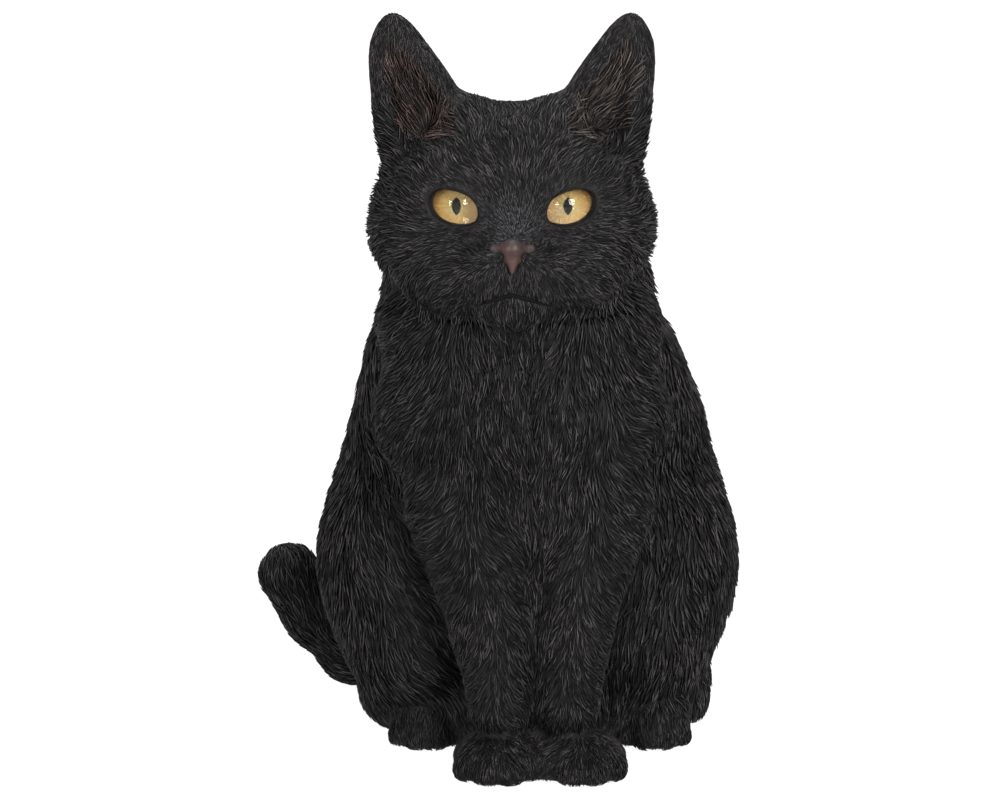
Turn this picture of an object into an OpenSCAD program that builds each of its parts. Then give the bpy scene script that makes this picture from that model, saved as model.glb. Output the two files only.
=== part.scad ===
// Sitting long-haired cat figurine: hollow castings for the body, head and tail,
// glass eyes bedded in putty, a stopper in the vent hole and felt pads underneath.
// The cat faces -Y. The origin is on the body's middle plane, on the surface it stands on.

/* [Figure] */
// Width over the haunches
body_w = 165; // [140:1:198]
// Depth from the front toes to the rump
body_d = 172; // [160:1:208]
// Height of the middle of the neck joint above the floor
neck_h = 180; // [160:1:220]

/* [Castings] */
// Wall of the hollow castings
wall = 5; // [4:0.5:7]
// Thickness of the floor of the body casting
floor_t = 6; // [4:0.5:9]
// Forward lean of the neck joint, in degrees
neck_lean = 11; // [5:1:15]
// Outside diameter of the spigot that the head casting puts into the neck
spigot_d = 62; // [50:1:70]
// Depth of the spigot in the neck
spigot_depth = 7; // [4:0.5:10]

/* [Head] */
// Width of the head over the cheeks
head_w = 110; // [100:1:128]
// Height of the head from the chin to the crown
head_h = 78; // [70:1:92]
// Depth of the head from the nose to the back of the skull
head_d = 98; // [90:1:115]
// How far the head sits to the cat's right of the body's middle
head_shift = 6.5; // [0:0.5:8]
// Length of an ear from its root to its tip
ear_h = 62; // [52:1:74]
// Width of an ear at its root
ear_w = 40; // [34:1:46]
// Thickness of the ear's rim
ear_t = 9; // [7:0.5:12]

/* [Eyes] */
// Diameter of the glass eyes
eye_d = 18; // [15:0.5:21]
// Distance between the middles of the eyes
eye_spacing = 43; // [40:0.5:47]
// Thickness of the glass at its middle
eye_glass_t = 6; // [4.5:0.5:7]
// Angle by which each eye looks outwards, in degrees
eye_yaw = 12; // [6:1:18]
// Thickness of the enamel iris disc
iris_t = 0.8; // [0.6:0.1:1.5]
// Height of the slit pupil
pupil_h = 5.8; // [5:0.1:9]
// Width of the slit pupil
pupil_w = 3; // [2:0.1:5]
// Thickness of the putty behind the eye
bed_t = 3; // [2:0.5:5]

/* [Paws] */
// Width of a front paw
paw_w = 33; // [28:1:38]
// Height of a front paw
paw_h = 19; // [16:0.5:23]
// Width of a hind paw
hind_paw_w = 29; // [25:1:34]
// Distance between the middles of the hind paws
hind_paw_gap = 90; // [82:1:100]

/* [Tail] */
// Thickness of the tail
tail_d = 25; // [20:1:32]
// How far the tail's tip stands out from the haunch
tail_out = 26; // [18:1:34]

/* [Underside] */
// Diameter of the vent hole
vent_d = 18; // [14:1:24]
// Diameter of the stopper's flange
flange_d = 25; // [22:1:32]
// Thickness of the stopper's flange
flange_t = 2; // [1.5:0.5:4]
// Length of the stopper's plug
plug_l = 9; // [7:0.5:14]
// Thickness of the felt pads
felt_t = 1; // [0.8:0.1:2]
// Diameter of the felt pad under the haunches
rear_pad_d = 66; // [56:1:70]
// Diameter of the felt pads under the front paws
front_pad_d = 18; // [14:1:20]
// Clearance between pieces that are put together
fit_gap = 0.3; // [0.2:0.05:0.6]

/* [Hidden] */
// Facets of the sculpted masses, of the domes over the glass, and of what is turned or bored
ball_fn = 24;
dome_fn = 48;
fine_fn = 96;
// Larger than anything here, for the blocks that cut pieces along a plane
big = 400;

// The body's middle, fore and aft
mid_y = 6;
toe_y = mid_y - body_d / 2;
rump_y = mid_y + body_d / 2;
half_w = body_w / 2;

// The neck joint: a plane that leans forward, with its middle here
neck_at = [-head_shift / 2, toe_y + 76, neck_h];

// The last mass of the neck, [place, half sizes]: both castings have its outline at the joint
neck_rim = [[neck_at[0], neck_at[1], neck_h - 4], [half_w - 31, 40, 26]];

// How far the opening between the hollows reaches into the head and into the body
throat_up = 24;
throat_down = 12;

// Head masses are placed from the middle of the head
head_at = [-head_shift, toe_y + 50, neck_h + 31];
half_hw = head_w / 2;
crown_z = head_h * 0.47;
chin_z = -head_h * 0.53;
nose_y = -head_d / 2;

// An eye's own frame has +Z out of the eye. The lids are arcs that lap over its edge
eye_face_y = nose_y + 13;
eye_z = 2;
lid_t = 1.2;
lid_lap = 2.4;
lid_corner_lap = 0.2;
lid_opening = eye_d - 2 * lid_lap;
lid_w = eye_d - 2 * lid_corner_lap;
lid_r = (pow(lid_w, 2) + pow(lid_opening, 2)) / (4 * lid_opening);
pupil_t = 0.3;
eye_rim_z = -lid_t - eye_glass_t;
eye_stack = lid_t + eye_glass_t + iris_t + bed_t;
eye_dome_r = (pow(eye_d / 2, 2) + pow(eye_glass_t, 2)) / (2 * eye_glass_t);

// The pocket for the eye, and the ring of clay round it that stays behind the face
socket_r = eye_d / 2 + fit_gap;
boss_t = 2.5;
boss_setback = 2;

// The vent hole and the rear pad, behind the middle of the body
vent_at = [0, mid_y + 36, 0];
rear_pad_at = [0, mid_y + 24, 0];

// Paws: two in front, side by side, and two behind at the haunches' outer fronts
paw_mid_x = 4;
hind_toe_y = toe_y + 48;
hind_paw_h = paw_h - 1;
toes_per_width = 5.2;

// The tail's path, from behind the haunch to its blunt tip
tail_r = tail_d / 2;
tail_points = [
  [-half_w + 37, rump_y - 27, tail_r + felt_t],
  [-half_w + 3, rump_y - 32, tail_r + felt_t + 6],
  [-half_w - tail_out * 0.28, rump_y - 36, tail_r + felt_t + 22],
  [-half_w - tail_out + tail_r * 0.92, rump_y - 42, tail_r + felt_t + 37]
];
tail_sizes = [1.0, 1.0, 1.0, 0.92];

// One rounded mass: a place, and its half sizes along X, Y and Z, less an inset
module mass(at, half, inset = 0) {
  translate(at)
    scale([half[0] - inset, half[1] - inset, half[2] - inset])
      sphere(r = 1, $fn = ball_fn);
}

// Masses joined in a row by hulls, each mass being [place, half sizes]
module chain(masses, inset = 0) {
  for (i = [0 : len(masses) - 2])
    hull() {
      mass(masses[i][0], masses[i][1], inset);
      mass(masses[i + 1][0], masses[i + 1][1], inset);
    }
}

// A mass mirrored to both sides of the body's middle
module both_sides() {
  children();
  mirror([1, 0, 0]) children();
}

// Everything above (or below) the leaning plane of the neck joint
module neck_side(above) {
  translate(neck_at)
    rotate([neck_lean, 0, 0])
      translate([-big / 2, -big / 2, above ? 0 : -big])
        cube(big);
}

// The long back and chest, from the hips up through the neck
module trunk(inset = 0) {
  back = [
    [[0, rump_y - 60, 48], [half_w - 8, 60, 62]],
    [[0, rump_y - 60, 88], [half_w - 5, 50, 50]],
    [[0, neck_at[1] + 20, neck_h - 58], [half_w - 14, 48, 46]],
    [[neck_at[0], neck_at[1] + 8, neck_h - 32], [half_w - 24, 42, 36]],
    neck_rim
  ];
  chest = [
    [[neck_at[0], toe_y + 58, neck_h - 14], [half_w - 32, 40, 20]],
    [[0, toe_y + 55, neck_h - 54], [half_w - 29, 38, 38]],
    [[0, toe_y + 50, neck_h - 88], [half_w - 42, 30, 32]]
  ];
  chain(back, inset);
  chain(chest, inset);
}

// Haunches: a big thigh each side, down to the heel on the floor
module haunches(inset = 0) {
  both_sides()
    chain([
      [[half_w - 36, rump_y - 72, 62], [36, 46, 50]],
      [[half_w - 32, rump_y - 84, 36], [28, 40, 34]],
      [[half_w - 30, rump_y - 72, 14], [18, 34, 16]]
    ], inset);
}

// One front leg down to its wrist
module front_leg(side, inset = 0) {
  x = paw_mid_x + side * paw_w / 2;
  chain([
    [[side * 22, toe_y + 46, neck_h - 88], [24, 24, 32]],
    [[paw_mid_x * 0.5 + side * 15, toe_y + 30, neck_h - 138], [14.5, 15, 20]],
    [[x - side * 2, toe_y + 24, paw_h - 4], [14, 16, 10]]
  ], inset);
}

// The front legs run together behind the groove between them
module leg_web() {
  chain([
    [[0, toe_y + 44, neck_h - 92], [12, 14, 12]],
    [[paw_mid_x, toe_y + 34, paw_h * 0.6], [8, 9, paw_h * 0.5]]
  ]);
}

// A paw with four toes: its middle, its front and its width
module paw(x, y_front, width, height) {
  r = width / toes_per_width;
  chain([
    [[x, y_front + width * 0.85, height * 0.5], [width * 0.44, width * 0.5, height * 0.55]],
    [[x, y_front + width * 0.38, height * 0.44], [width * 0.46, width * 0.34, height * 0.5]]
  ]);
  for (i = [0 : 3]) {
    across = (i - 1.5) / 1.5;
    back = abs(across) > 0.5 ? r * 0.75 : 0;
    chain([
      [[x + across * (width / 2 - r), y_front + r + back, r * 0.95], [r, r, r]],
      [[x + across * (width / 2 - r) * 0.85, y_front + r * 3, height * 0.55], [r, r, r]]
    ]);
  }
}

module front_paws() {
  for (side = [-1, 1])
    paw(paw_mid_x + side * paw_w / 2, toe_y, paw_w, paw_h);
}

module hind_paws() {
  for (side = [-1, 1])
    paw(paw_mid_x + side * hind_paw_gap / 2, hind_toe_y, hind_paw_w, hind_paw_h);
}

// Everything above a height
module above_floor(z) {
  translate([-big / 2, -big / 2, z]) cube(big);
}

// The vent hole with the seat for the stopper's flange
module vent_cut() {
  translate([vent_at[0], vent_at[1], -1])
    cylinder(h = felt_t + floor_t + 2, r = vent_d / 2, $fn = fine_fn);
  translate([vent_at[0], vent_at[1], -1])
    cylinder(h = felt_t + flange_t + fit_gap + 1, r = flange_d / 2 + fit_gap, $fn = fine_fn);
}

// The socket in the neck's rim for the head's spigot
module neck_socket() {
  translate(neck_at)
    rotate([neck_lean, 0, 0])
      translate([0, 0, -spigot_depth - fit_gap])
        cylinder(h = spigot_depth + 1, r = spigot_d / 2 + fit_gap, $fn = fine_fn);
}

// The opening between the two hollows, narrower than the spigot by its wall
module neck_throat(depth) {
  translate(neck_at)
    rotate([neck_lean, 0, 0])
      translate([0, 0, -depth])
        cylinder(h = depth + throat_up, r = spigot_d / 2 - wall, $fn = fine_fn);
}

module body_shell() {
  color("dimgray")
    difference() {
      intersection() {
        union() {
          trunk();
          haunches();
          front_leg(-1);
          front_leg(1);
          leg_web();
          front_paws();
          hind_paws();
        }
        above_floor(felt_t);
        neck_side(false);
      }
      intersection() {
        trunk(wall);
        above_floor(felt_t + floor_t);
        translate([0, 0, -spigot_depth - wall]) neck_side(false);
      }
      tail_solid();
      neck_socket();
      neck_throat(spigot_depth + wall + throat_down);
      vent_cut();
    }
}

// The solid of the tail. The same is taken out of the haunch, where the tail is stuck on
module tail_solid() {
  for (i = [0 : len(tail_points) - 2])
    hull()
      for (j = [i, i + 1])
        translate(tail_points[j]) sphere(r = tail_r * tail_sizes[j], $fn = ball_fn);
}

module tail() {
  color("dimgray")
    intersection() {
      tail_solid();
      above_floor(felt_t);
    }
}

// An ear: a thick leaf with a rounded tip, hollowed from the front
module ear(side) {
  r = ear_t / 2;
  tip_z = crown_z + 33 - r;
  root_z = tip_z - ear_h;
  root_in = [side * (half_hw - 8 - ear_w), 2, root_z + 18];
  root_out = [side * (half_hw - 10), 6, root_z];
  shoulder = [side * (half_hw - 2 - r), 3, tip_z - 16];
  tip = [side * (half_hw - 11), 2, tip_z];
  difference() {
    hull() {
      translate(root_in) sphere(r = r * 1.5, $fn = ball_fn);
      translate(root_out) sphere(r = r * 1.5, $fn = ball_fn);
      translate(shoulder) sphere(r = r, $fn = ball_fn);
      translate(tip) sphere(r = r, $fn = ball_fn);
    }
    hull() {
      translate(root_in + [side * 9, -r * 2, -2]) sphere(r = r, $fn = ball_fn);
      translate(root_out + [-side * 5, -r * 2.2, 6]) sphere(r = r, $fn = ball_fn);
      translate(shoulder + [-side * 5, -r * 1.4, -3]) sphere(r = r * 0.7, $fn = ball_fn);
      translate(tip + [-side * 1, -r * 1.4, -8]) sphere(r = r * 0.6, $fn = ball_fn);
    }
  }
}

// The rounded masses of the skull and cheeks
module head_masses(inset = 0) {
  mass([0, 4, crown_z - 33], [half_hw - 6, head_d / 2 - 8, 33], inset);
  hull() {
    mass([0, 4, 0], [half_hw - 5, head_d / 2 - 9, 30], inset);
    for (side = [-1, 1])
      mass([side * (half_hw - 26), 0, -12], [26, 34, 22], inset);
  }
}

// Muzzle, chin, bridge of the nose and the mounds that the eyes sit in
module face() {
  for (side = [-1, 1]) {
    hull() {
      mass([side * 9, nose_y + 13, -23], [11.5, 12, 9.5]);
      mass([side * 20, nose_y + 30, -20], [16, 18, 16]);
    }
    hull() {
      mass([side * eye_spacing / 2, nose_y + 24, eye_z], [15, 11, 13]);
      mass([side * 26, nose_y + 34, eye_z + 3], [22, 18, 22]);
    }
  }
  chain([
    [[0, nose_y + 36, 17], [19, 18, 18]],
    [[0, nose_y + 17, 0], [10, 10, 10]],
    [[0, nose_y + 7, -13], [8, 7, 6]]
  ]);
  hull() {
    mass([0, nose_y + 17, chin_z + 8], [11, 11, 8]);
    mass([0, nose_y + 36, chin_z + 14], [26, 20, 14]);
  }
}

// A child placed in the frame of one eye: -1 is the cat's right, 1 its left
module at_eye(side) {
  translate([side * eye_spacing / 2, eye_face_y, eye_z])
    rotate([0, 0, side * eye_yaw])
      rotate([90, 0, 0])
        children();
}

// The part of the neck that belongs to the head: it leaves the joint with the
// outline of the body's rim and closes in on the skull
module neck_collar(inset = 0) {
  hull() {
    mass(neck_rim[0], neck_rim[1], inset);
    translate(head_at) mass([0, 6, -8], [half_hw - 12, head_d / 2 - 16, 24], inset);
  }
}

// The ring of clay round the pocket for the eye, inside the head
module eye_boss() {
  translate([0, 0, -eye_stack])
    cylinder(h = eye_stack - lid_t - boss_setback, r = socket_r + boss_t, $fn = fine_fn);
}

// The almond outline that the lids leave open
module lid_outline() {
  shift = lid_r - lid_opening / 2;
  intersection() {
    translate([0, shift]) circle(r = lid_r, $fn = fine_fn);
    translate([0, -shift]) circle(r = lid_r, $fn = fine_fn);
  }
}

// The pocket for the eye, open to the inside of the head: round behind the glass's
// rim, domed over the glass, and open in front between the lids
module eye_cut() {
  translate([0, 0, -eye_stack - 1])
    cylinder(h = iris_t + bed_t + fit_gap + 1, r = socket_r, $fn = fine_fn);
  intersection() {
    translate([0, 0, -lid_t - eye_dome_r]) sphere(r = eye_dome_r + fit_gap, $fn = dome_fn);
    translate([0, 0, eye_rim_z]) cylinder(h = eye_glass_t + 1, r = socket_r, $fn = fine_fn);
  }
  translate([0, 0, eye_rim_z])
    linear_extrude(height = big)
      lid_outline();
}

// The outside of the head casting above the neck joint
module head_outside() {
  intersection() {
    union() {
      translate(head_at) head_masses();
      translate(head_at) face();
      neck_collar();
    }
    neck_side(true);
  }
}

module head_hollow() {
  intersection() {
    union() {
      translate(head_at) head_masses(wall);
      neck_collar(wall);
    }
    translate([0, 0, wall]) neck_side(true);
  }
}

module head_shell() {
  color("dimgray")
    difference() {
      union() {
        difference() {
          head_outside();
          head_hollow();
        }
        translate(head_at)
          for (side = [-1, 1]) {
            ear(side);
            at_eye(side) eye_boss();
          }
        head_spigot();
      }
      neck_throat(spigot_depth + 1);
      translate(head_at)
        for (side = [-1, 1]) at_eye(side) eye_cut();
    }
}

module head_spigot() {
  translate(neck_at)
    rotate([neck_lean, 0, 0])
      translate([0, 0, -spigot_depth])
        cylinder(h = spigot_depth + wall, r = spigot_d / 2, $fn = fine_fn);
}

// The glass: a flat-backed dome
module eye_lens() {
  color("lightyellow", 0.6)
    intersection() {
      translate([0, 0, -lid_t - eye_dome_r]) sphere(r = eye_dome_r, $fn = fine_fn);
      translate([0, 0, eye_rim_z]) cylinder(h = eye_glass_t + 1, r = eye_d / 2, $fn = fine_fn);
    }
}

// Outline of the slit pupil: the part that two circles share
module pupil_outline() {
  r = (pow(pupil_h / 2, 2) + pow(pupil_w / 2, 2)) / pupil_w;
  intersection() {
    translate([r - pupil_w / 2, 0]) circle(r = r, $fn = fine_fn);
    translate([pupil_w / 2 - r, 0]) circle(r = r, $fn = fine_fn);
  }
}

module eye_pupil() {
  color("black")
    translate([0, 0, eye_rim_z - pupil_t])
      linear_extrude(height = pupil_t) pupil_outline();
}

module eye_iris() {
  color("goldenrod")
    difference() {
      translate([0, 0, eye_rim_z - iris_t])
        cylinder(h = iris_t, r = eye_d / 2, $fn = fine_fn);
      translate([0, 0, eye_rim_z - pupil_t])
        linear_extrude(height = pupil_t + 1) pupil_outline();
    }
}

module eye_bed() {
  color("linen")
    translate([0, 0, eye_rim_z - iris_t - bed_t])
      cylinder(h = bed_t, r = socket_r, $fn = fine_fn);
}

// The stopper: a plug in the vent hole, and a flange in its seat
module vent_bung() {
  plug_r = vent_d / 2 - fit_gap;
  color("ivory")
    translate([vent_at[0], vent_at[1], felt_t])
      rotate_extrude($fn = fine_fn)
        polygon([[0, 0], [flange_d / 2, 0], [flange_d / 2, flange_t], [plug_r, flange_t],
                 [plug_r - 1, flange_t + plug_l], [0, flange_t + plug_l]]);
}

// Felt pad under the haunches, with a hole that leaves the stopper free
module rear_felt_pad() {
  color("darkgreen")
    difference() {
      translate(rear_pad_at)
        cylinder(h = felt_t, r = rear_pad_d / 2, $fn = fine_fn);
      translate([vent_at[0], vent_at[1], -1])
        cylinder(h = felt_t + 2, r = flange_d / 2 + 2 * fit_gap, $fn = fine_fn);
    }
}

module front_felt_pads() {
  color("darkgreen")
    for (side = [-1, 1])
      translate([paw_mid_x + side * paw_w / 2, toe_y + paw_w * 0.62, 0])
        cylinder(h = felt_t, r = front_pad_d / 2, $fn = fine_fn);
}

body_shell();
head_shell();
tail();
translate(head_at) at_eye(1) eye_lens();  // left_eye_lens
translate(head_at) at_eye(-1) eye_lens();  // right_eye_lens
translate(head_at) at_eye(1) eye_iris();  // left_eye_iris
translate(head_at) at_eye(-1) eye_iris();  // right_eye_iris
translate(head_at) at_eye(1) eye_pupil();  // left_eye_pupil
translate(head_at) at_eye(-1) eye_pupil();  // right_eye_pupil
translate(head_at) at_eye(1) eye_bed();  // left_eye_bed
translate(head_at) at_eye(-1) eye_bed();  // right_eye_bed
vent_bung();
rear_felt_pad();
front_felt_pads();
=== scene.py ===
"""Sitting cat figurine: cast and hand-painted fur, glass eyes, on a plain pale floor."""

import math

import bpy
import numpy as np
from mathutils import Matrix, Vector, kdtree


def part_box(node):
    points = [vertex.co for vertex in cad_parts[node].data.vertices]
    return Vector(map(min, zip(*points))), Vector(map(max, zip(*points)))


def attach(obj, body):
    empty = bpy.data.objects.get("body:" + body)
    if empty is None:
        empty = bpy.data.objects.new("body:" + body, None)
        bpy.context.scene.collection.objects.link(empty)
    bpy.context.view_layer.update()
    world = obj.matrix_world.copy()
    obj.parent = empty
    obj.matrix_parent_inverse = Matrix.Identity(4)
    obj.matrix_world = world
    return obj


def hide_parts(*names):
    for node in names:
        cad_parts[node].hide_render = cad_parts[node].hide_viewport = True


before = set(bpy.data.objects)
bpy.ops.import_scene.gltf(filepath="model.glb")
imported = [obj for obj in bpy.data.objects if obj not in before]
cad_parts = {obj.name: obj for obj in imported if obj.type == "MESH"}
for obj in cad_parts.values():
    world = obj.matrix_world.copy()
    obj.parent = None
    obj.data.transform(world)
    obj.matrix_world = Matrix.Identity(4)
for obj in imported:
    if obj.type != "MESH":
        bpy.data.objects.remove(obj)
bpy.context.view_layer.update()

# ---- landmarks, in millimetres
MM = 0.001


def corners(node):
    """Lowest and highest corner of a CAD node, in millimetres."""
    low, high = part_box(node)
    return np.array(low) / MM, np.array(high) / MM


body_low, body_high = corners("body_shell")
head_low, head_high = corners("head_shell")
tail_low, tail_high = corners("tail")
TOE_Y = body_low[1]
RUMP_Y = body_high[1]
HALF_W = (body_high[0] - body_low[0]) / 2
FLOOR_Z = body_low[2]
# The middle of the leaning cut between the castings, 7 under the body's highest point
NECK_Z = body_high[2] - 7
# The middle of the head, 49 behind the front of the face and 69.7 under the tips of the ears
HEAD = np.array([(head_low[0] + head_high[0]) / 2, head_low[1] + 49, head_high[2] - 69.7])
HALF_HEAD = (head_high[0] - head_low[0]) / 2
# Where the front paws meet, and the middles of the hind paws
PAW_X = 4.0
FRONT_PAW_W = 32.0
FRONT_PAW_H = 15
HIND_PAWS_X = (-39.0, 48.0)
HIND_PAW_W = 29.0
HIND_PAW_H = 23
# The cat's right and left
SIDES = (-1, 1)


# ---- distance fields
def ellipsoid(p, at, half):
    """Signed distance, near enough, to an ellipsoid with these half sizes."""
    q = (p - np.array(at, np.float32)) / np.array(half, np.float32)
    k0 = np.sqrt((q * q).sum(-1)) + 1e-9
    g = q / np.array(half, np.float32)
    k1 = np.sqrt((g * g).sum(-1)) + 1e-9
    return k0 * (k0 - 1) / k1


def limb(p, a, b, ra, rb):
    """Signed distance to a straight limb whose radius goes from ra to rb."""
    a = np.array(a, np.float32)
    ab = np.array(b, np.float32) - a
    h = np.clip(((p - a) @ ab) / (ab @ ab), 0, 1)
    d = p - a - h[..., None] * ab
    return np.sqrt((d * d).sum(-1)) - (ra + (rb - ra) * h)


def union(a, b, k):
    """The two shapes together, with a blend about k wide where they meet."""
    h = np.clip(0.5 + 0.5 * (b - a) / k, 0, 1)
    return b + (a - b) * h - k * h * (1 - h)


def swollen(d, p, masses):
    """The shape d with ellipsoids blended on, each given as middle, half sizes and blend."""
    for at, half, k in masses:
        d = union(d, ellipsoid(p, at, half), k)
    return d


def carve(a, b, k):
    """Shape a with shape b taken out, the edge rounded by about k."""
    return -union(-a, b, k)


def mirrored(p):
    """Points folded onto the cat's left side."""
    q = p.copy()
    q[..., 0] = np.abs(q[..., 0])
    return q


def from_head(p):
    """Points in head coordinates, which start at the middle of the head."""
    return p - HEAD.astype(np.float32)


def trunk_field(p):
    """Hips, back and flanks up to the neck."""
    hips = ellipsoid(p, (0, RUMP_Y - 59, 52), (HALF_W - 8, 57, 60))
    return swollen(hips, p, [
        ((0, RUMP_Y - 62, 92), (HALF_W - 7, 50, 50), 18),
        ((0, TOE_Y + 94, NECK_Z - 56), (HALF_W - 16, 47, 44), 18),
        ((-3, TOE_Y + 82, NECK_Z - 30), (HALF_W - 25, 42, 36), 16),
        ((HEAD[0] * 0.7 + 0.3, TOE_Y + 74, NECK_Z - 2), (HALF_W - 32, 40, 32), 12),
    ])


def haunch_field(p):
    """Both thighs with their knees and heels; the left heel stands out further."""
    q = mirrored(p)
    thigh = ellipsoid(q, (HALF_W - 37, RUMP_Y - 73, 65), (37, 46, 48))
    knee = ((HALF_W - 42, RUMP_Y - 88, 38), (29, 38, 34), 12)
    heel = ((HALF_W - 36, RUMP_Y - 74, 13), (20, 36, 15), 6)
    left_heel = ((HALF_W - 29, RUMP_Y - 70, 14), (19, 24, 27), 6)
    return swollen(swollen(thigh, q, [knee, heel]), p, [left_heel])


def chest_field(p):
    """The bib of the chest from under the chin to its point between the legs."""
    top = ellipsoid(p, (-4, TOE_Y + 60, NECK_Z - 15), (HALF_W - 29, 39, 27))
    return swollen(top, p, [
        ((-2.5, TOE_Y + 54, NECK_Z - 50), (HALF_W - 27, 38, 38), 14),
        ((0.5, TOE_Y + 47, NECK_Z - 86), (HALF_W - 45, 28, 30), 12),
    ])


def leg_middle(z):
    """How far the middle of a front leg is from the groove, at height z."""
    return np.interp(z, (14, 45, 95), (15.5, 13.5, 23))


def leg_field(p, side):
    """One front leg from the shoulder to the wrist."""
    elbow = (side * 14.5 + 1, TOE_Y + 33, NECK_Z - 128)
    wrist = (side * 12.3 + 2, TOE_Y + 27, 24)
    d = limb(p, (side * 23, TOE_Y + 47, NECK_Z - 84), elbow, 23, 14)
    return union(d, limb(p, elbow, wrist, 14, 11.3), 6)


def paw_field(p, x, y, width, height):
    """A paw whose toes start at y, with its four toes side by side."""
    r = width / 5.4
    d = ellipsoid(p, (x, y + width * 0.72, height * 0.44), (width * 0.49, width * 0.62, height * 0.57))
    for i in range(4):
        across = (i - 1.5) / 1.5
        back = r * 0.9 if abs(across) > 0.5 else 0
        toe = (x + across * (width / 2 - r), y + r + back + 1.2, r * 0.85)
        knuckle = (x + across * (width / 2 - r) * 0.72, y + r * 2.9 + back, height * 0.62)
        d = union(d, limb(p, toe, knuckle, r, r * 0.9), 2.2)
    return d


def body_halves(p):
    """The rear of the body and the chest with the front legs, which meet in a crease."""
    rear = union(trunk_field(p), haunch_field(p), 7)
    belly = ellipsoid(p, (2, TOE_Y + 72, 14), (44, 27, 21))
    rear = union(rear, belly, 8)
    for x in HIND_PAWS_X:
        rear = union(rear, paw_field(p, x, TOE_Y + 46, HIND_PAW_W, HIND_PAW_H), 1.5)
    legs = union(leg_field(p, -1), leg_field(p, 1), 2)
    web = limb(p, (0, TOE_Y + 42, NECK_Z - 90), (PAW_X, TOE_Y + 34, 10), 12, 9)
    legs = union(legs, web, 2)
    front = union(chest_field(p), legs, 7)
    paws = [paw_field(p, PAW_X + side * (FRONT_PAW_W / 2 - 0.5), TOE_Y, FRONT_PAW_W + 1, FRONT_PAW_H)
            for side in SIDES]
    return rear, union(front, union(paws[0], paws[1], 4), 3.5)


def body_field(p):
    """The whole body casting, standing flat on the floor."""
    rear, front = body_halves(p)
    return carve(union(rear, front, 4), p[..., 2] - FLOOR_Z, 1.5)


def leaf(p, low, high, mid_x, mid_y, half_x, half_y):
    """An upright leaf between two heights that narrows to a round tip. Its middle line is given
    as shares of its height and the x at each."""
    t = np.clip((p[..., 2] - low) / (high - low), 0, 0.999)
    narrow = (1 - t**1.65) ** 0.55
    rx, ry = half_x * narrow + 0.05, half_y * narrow + 0.05
    k = np.sqrt(((p[..., 0] - np.interp(t, *mid_x)) / rx) ** 2 + ((p[..., 1] - mid_y) / ry) ** 2)
    ends = np.maximum(p[..., 2] - high, low - 6 - p[..., 2])
    return np.maximum((k - 1) * np.minimum(rx, ry), ends)


# The ears' lowest and highest points and their middle line, in head coordinates
EAR_LOW, EAR_HIGH = 12, 69.5
EAR_MIDDLE = ((0, 0.45, 0.72, 0.82, 1), (26.5, 34.5, 40.0, 41.9, 43.8))


def ear_hollow(q):
    """The hollow that opens an ear to the front, in head coordinates folded to the cat's left."""
    return leaf(q, EAR_LOW + 5, EAR_HIGH - 8, EAR_MIDDLE, -11, 13, 12.5)


def ear_field(q):
    """One ear, in head coordinates folded to the cat's left: a leaf open to the front."""
    outer = leaf(q, EAR_LOW, EAR_HIGH, EAR_MIDDLE, 3, 20, 14)
    return carve(outer, ear_hollow(q), 1.8)


# Each eye is a glass dome cut from a sphere and turned outwards; the lids' opening is a rounded
# almond across it, drawn up at its outer corner
EYE_D = 18.0
EYE_GLASS_T = 6.0
DOME_R = ((EYE_D / 2) ** 2 + EYE_GLASS_T**2) / (2 * EYE_GLASS_T)
EYE_YAW = math.radians(12)
OPENING_HALF = (8.8, 6.2)
OPENING_SLANT = 0.2
OPENING_POWER = 2.2


def eye_axes(side):
    """Outward, up and forward directions of one eye, as unit vectors."""
    forward = np.array([side * math.sin(EYE_YAW), -math.cos(EYE_YAW), 0])
    outward = np.array([side * math.cos(EYE_YAW), math.sin(EYE_YAW), 0])
    up = np.array([0, 0, 1.0])
    return outward, up, forward


def dome_middle(side):
    """The middle of the sphere that one eye's glass is cut from."""
    low, high = corners("left_eye_lens" if side > 0 else "right_eye_lens")
    half_across = EYE_D / 2 * math.cos(EYE_YAW)
    # the flat back's rim is the lens's furthest point on the outer side and to the rear
    x = low[0] + half_across if side > 0 else high[0] - half_across
    back_middle = np.array([x, high[1] - EYE_D / 2 * math.sin(EYE_YAW), (low[2] + high[2]) / 2])
    return back_middle - eye_axes(side)[2] * (DOME_R - EYE_GLASS_T)


DOMES = {side: dome_middle(side) for side in SIDES}


def almond(p, side):
    """Distance, near enough, across the eye's axis to the opening between the lids: a
    rounded shape whose outer corner is drawn up."""
    outward_axis, up, _ = eye_axes(side)
    d = p - DOMES[side].astype(np.float32)
    a = d @ outward_axis.astype(np.float32)
    b = d @ up.astype(np.float32) - OPENING_SLANT * a
    k = np.abs(a / OPENING_HALF[0]) ** OPENING_POWER + np.abs(b / OPENING_HALF[1]) ** OPENING_POWER
    k = k ** (1 / OPENING_POWER)
    return np.maximum((k - 1) * OPENING_HALF[1], np.sqrt(a * a + b * b) - (EYE_D / 2 - 0.1))


def sockets(d, p):
    """The skin d with lids over both eyes, the almond openings and the pockets behind."""
    for side in SIDES:
        mid = DOMES[side].astype(np.float32)
        away = np.sqrt(((p - mid) ** 2).sum(-1))
        d = union(d, away - (DOME_R + 1.5), 3.5)
        ahead = (p - mid) @ eye_axes(side)[2].astype(np.float32)
        opening = np.maximum(almond(p, side), -ahead)
        d = carve(d, opening, 0.8)
        d = np.maximum(d, -(away - DOME_R - 0.25))
    return d


# The mouth's line from its middle to a corner, in head coordinates folded to the cat's left
MOUTH = [(0, -47.3, -28), (7, -45.0, -30.2), (14, -39.3, -33)]


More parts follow.
